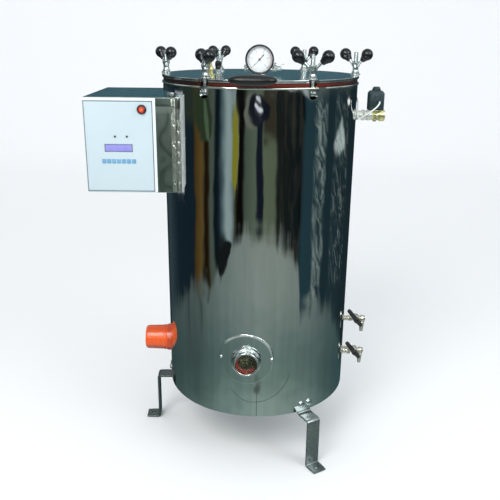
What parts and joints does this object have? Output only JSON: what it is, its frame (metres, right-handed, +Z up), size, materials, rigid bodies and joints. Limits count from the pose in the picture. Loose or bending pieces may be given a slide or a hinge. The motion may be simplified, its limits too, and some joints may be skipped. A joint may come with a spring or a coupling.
{
  "type": "vertical steam autoclave",
  "caption": "Upright steam autoclave: a polished round pressure vessel on strap legs with a clamped flat lid, gauge, valves, control box, heater and drain cocks.",
  "frame": {"origin": "on the floor under the middle of the whole outline", "axes": "+Z up along the vessel; -Y is the front with the sight port and lid handle; -X is the side with the control box, +X the side with the cocks"},
  "size_m": [0.6794, 0.5598, 1.012],
  "materials": {
    "mirror_steel": "mirror-polished stainless sheet",
    "lid_steel": "polished stainless plate with faint turning marks",
    "chamber_steel": "satin stainless",
    "leg_steel": "bent stainless strap, satin",
    "fastener_steel": "bright stainless turned parts",
    "fitting_steel": "satin stainless fittings",
    "yellow_brass": "machined brass",
    "element_sheath": "heat-tinted tube",
    "seal_rubber": "dark red silicone",
    "knob_plastic": "glossy black moulded plastic",
    "case_black": "black enamel",
    "lever_black": "black sleeve",
    "coil_plastic": "dark grey moulded coil",
    "dial_white": "matt white",
    "needle_grey": "dark grey",
    "clear_glass": "clear",
    "port_glass": "thick glass over a dark hollow",
    "cap_orange": "glossy orange-red moulded cap",
    "cable_white": "white sheath",
    "label_blue": "pale blue printed film",
    "lamp_red": "translucent orange-red lens",
    "display_violet": "violet display window",
    "board_green": "circuit board"
  },
  "bodies": {
    "vessel": {"outer_shell": "mirror_steel", "inner_chamber": "chamber_steel", "legs": "leg_steel", "leg_bolts": "fastener_steel", "clamp_pins": "fastener_steel", "sight_port_ring": "mirror_steel", "sight_glass": "port_glass", "heater_element": "element_sheath", "heater_cap": "cap_orange", "support_grid": "chamber_steel", "cock_bodies": "fitting_steel", "solenoid_body": "yellow_brass", "solenoid_coil": "coil_plastic", "solenoid_cable": "cable_white", "control_box": "mirror_steel", "control_board": "board_green"},
    "lid": {"lid_plate": "lid_steel", "lid_gasket": "seal_rubber", "lid_handle": "knob_plastic", "gauge_case": "case_black", "gauge_dial": "dial_white", "gauge_glass": "clear_glass", "lid_manifold": "fitting_steel", "safety_valve_body": "yellow_brass", "release_valve_body": "fitting_steel"},
    "gauge_pointer": {"gauge_needle": "needle_grey"},
    "vent_cock_lever": {"vent_lever": "fitting_steel"},
    "safety_stem": {"safety_valve_stem": "yellow_brass"},
    "release_handwheel": {"release_knob": "knob_plastic"},
    "loading_basket": {"basket": "chamber_steel"},
    "door": {"box_door": "mirror_steel", "panel_label": "label_blue", "power_lamp": "lamp_red", "display_window": "display_violet"},
    "upper_cock": {"upper_cock_lever": "lever_black"},
    "lower_cock": {"lower_cock_lever": "lever_black"},
    "bolt_1": {"swing_bolt_1": "fastener_steel"},
    "clamp_washer_1": {"washer_1": "fastener_steel"},
    "nut_1": {"wing_nut_1": "fastener_steel", "ball_knobs_1": "knob_plastic"},
    "bolt_2": {"swing_bolt_2": "fastener_steel"},
    "clamp_washer_2": {"washer_2": "fastener_steel"},
    "nut_2": {"wing_nut_2": "fastener_steel", "ball_knobs_2": "knob_plastic"},
    "bolt_3": {"swing_bolt_3": "fastener_steel"},
    "clamp_washer_3": {"washer_3": "fastener_steel"},
    "nut_3": {"wing_nut_3": "fastener_steel", "ball_knobs_3": "knob_plastic"},
    "bolt_4": {"swing_bolt_4": "fastener_steel"},
    "clamp_washer_4": {"washer_4": "fastener_steel"},
    "nut_4": {"wing_nut_4": "fastener_steel", "ball_knobs_4": "knob_plastic"},
    "bolt_5": {"swing_bolt_5": "fastener_steel"},
    "clamp_washer_5": {"washer_5": "fastener_steel"},
    "nut_5": {"wing_nut_5": "fastener_steel", "ball_knobs_5": "knob_plastic"},
    "bolt_6": {"swing_bolt_6": "fastener_steel"},
    "clamp_washer_6": {"washer_6": "fastener_steel"},
    "nut_6": {"wing_nut_6": "fastener_steel", "ball_knobs_6": "knob_plastic"}
  },
  "joints": [
    {"name": "lid_lift", "type": "slide", "parent": "vessel", "child": "lid", "axis": [0, 0, 1], "range_m": [0, 0.45]},
    {"name": "gauge_needle_turn", "type": "hinge", "parent": "lid", "child": "gauge_pointer", "pos_m": [0.03025, -0.06843, 0.9785], "axis": [0, 1, 0], "range_deg": [0, 270]},
    {"name": "vent_lever_turn", "type": "hinge", "parent": "lid", "child": "vent_cock_lever", "pos_m": [0.06425, -0.01843, 0.9663], "axis": [0, 0, 1], "range_deg": [0, 90]},
    {"name": "safety_valve_lift", "type": "slide", "parent": "lid", "child": "safety_stem", "axis": [0, 0, 1], "range_m": [0, 0.003], "stiffness_N_per_m": 800},
    {"name": "release_knob_turn", "type": "hinge", "parent": "lid", "child": "release_handwheel", "pos_m": [-0.06375, -0.09943, 0.965], "axis": [0, 0, 1], "range_deg": [0, 270]},
    {"name": "basket_lift", "type": "slide", "parent": "vessel", "child": "loading_basket", "axis": [0, 0, 1], "range_m": [0, 0.36]},
    {"name": "control_door_swing", "type": "hinge", "parent": "vessel", "child": "door", "pos_m": [-0.14125, -0.24643, 0.80675], "axis": [0, 0, 1], "range_deg": [0, 110]},
    {"name": "upper_cock_turn", "type": "hinge", "parent": "vessel", "child": "upper_cock", "pos_m": [0.30325, -0.01343, 0.302], "axis": [0, 1, 0], "range_deg": [0, 90]},
    {"name": "lower_cock_turn", "type": "hinge", "parent": "vessel", "child": "lower_cock", "pos_m": [0.30325, -0.01343, 0.206], "axis": [0, 1, 0], "range_deg": [0, 90]},
    {"name": "swing_bolt_1_right", "type": "hinge", "parent": "vessel", "child": "bolt_1", "pos_m": [0.26115, -0.00519, 0.915], "axis": [0.0297, 0.9996, 0], "range_deg": [0, 55]},
    {"name": "washer_1_rise", "type": "slide", "parent": "bolt_1", "child": "clamp_washer_1", "axis": [0, 0, 1], "range_m": [0, 0.45]},
    {"name": "nut_1_spin", "type": "hinge", "parent": "clamp_washer_1", "child": "nut_1", "pos_m": [0.26115, -0.00519, 0.96], "axis": [0, 0, 1], "continuous": true},
    {"name": "swing_bolt_2_rear_right", "type": "hinge", "parent": "vessel", "child": "bolt_2", "pos_m": [0.15306, 0.19556, 0.915], "axis": [-0.8508, 0.5255, 0], "range_deg": [0, 100]},
    {"name": "washer_2_rise", "type": "slide", "parent": "bolt_2", "child": "clamp_washer_2", "axis": [0, 0, 1], "range_m": [0, 0.45]},
    {"name": "nut_2_spin", "type": "hinge", "parent": "clamp_washer_2", "child": "nut_2", "pos_m": [0.15306, 0.19556, 0.96], "axis": [0, 0, 1], "continuous": true},
    {"name": "swing_bolt_3_rear_left", "type": "hinge", "parent": "vessel", "child": "bolt_3", "pos_m": [-0.07484, 0.20232, 0.915], "axis": [-0.8805, -0.4741, 0], "range_deg": [0, 100]},
    {"name": "washer_3_rise", "type": "slide", "parent": "bolt_3", "child": "clamp_washer_3", "axis": [0, 0, 1], "range_m": [0, 0.45]},
    {"name": "nut_3_spin", "type": "hinge", "parent": "clamp_washer_3", "child": "nut_3", "pos_m": [-0.07484, 0.20232, 0.96], "axis": [0, 0, 1], "continuous": true},
    {"name": "swing_bolt_4_left", "type": "hinge", "parent": "vessel", "child": "bolt_4", "pos_m": [-0.19465, 0.00833, 0.915], "axis": [-0.0297, -0.9996, 0], "range_deg": [0, 55]},
    {"name": "washer_4_rise", "type": "slide", "parent": "bolt_4", "child": "clamp_washer_4", "axis": [0, 0, 1], "range_m": [0, 0.45]},
    {"name": "nut_4_spin", "type": "hinge", "parent": "clamp_washer_4", "child": "nut_4", "pos_m": [-0.19465, 0.00833, 0.96], "axis": [0, 0, 1], "continuous": true},
    {"name": "swing_bolt_5_front_left", "type": "hinge", "parent": "vessel", "child": "bolt_5", "pos_m": [-0.08656, -0.19242, 0.915], "axis": [0.8508, -0.5255, 0], "range_deg": [0, 60]},
    {"name": "washer_5_rise", "type": "slide", "parent": "bolt_5", "child": "clamp_washer_5", "axis": [0, 0, 1], "range_m": [0, 0.45]},
    {"name": "nut_5_spin", "type": "hinge", "parent": "clamp_washer_5", "child": "nut_5", "pos_m": [-0.08656, -0.19242, 0.96], "axis": [0, 0, 1], "continuous": true},
    {"name": "swing_bolt_6_front_right", "type": "hinge", "parent": "vessel", "child": "bolt_6", "pos_m": [0.14134, -0.19918, 0.915], "axis": [0.8805, 0.4741, 0], "range_deg": [0, 100]},
    {"name": "washer_6_rise", "type": "slide", "parent": "bolt_6", "child": "clamp_washer_6", "axis": [0, 0, 1], "range_m": [0, 0.45]},
    {"name": "nut_6_spin", "type": "hinge", "parent": "clamp_washer_6", "child": "nut_6", "pos_m": [0.14134, -0.19918, 0.96], "axis": [0, 0, 1], "continuous": true}
  ],
  "couplings": [
    {"joint": "basket_lift", "follows": "lid_lift", "ratio": 0.8},
    {"joint": "washer_1_rise", "follows": "lid_lift", "ratio": 1},
    {"joint": "washer_2_rise", "follows": "lid_lift", "ratio": 1},
    {"joint": "washer_3_rise", "follows": "lid_lift", "ratio": 1},
    {"joint": "washer_4_rise", "follows": "lid_lift", "ratio": 1},
    {"joint": "washer_5_rise", "follows": "lid_lift", "ratio": 1},
    {"joint": "washer_6_rise", "follows": "lid_lift", "ratio": 1}
  ]
}
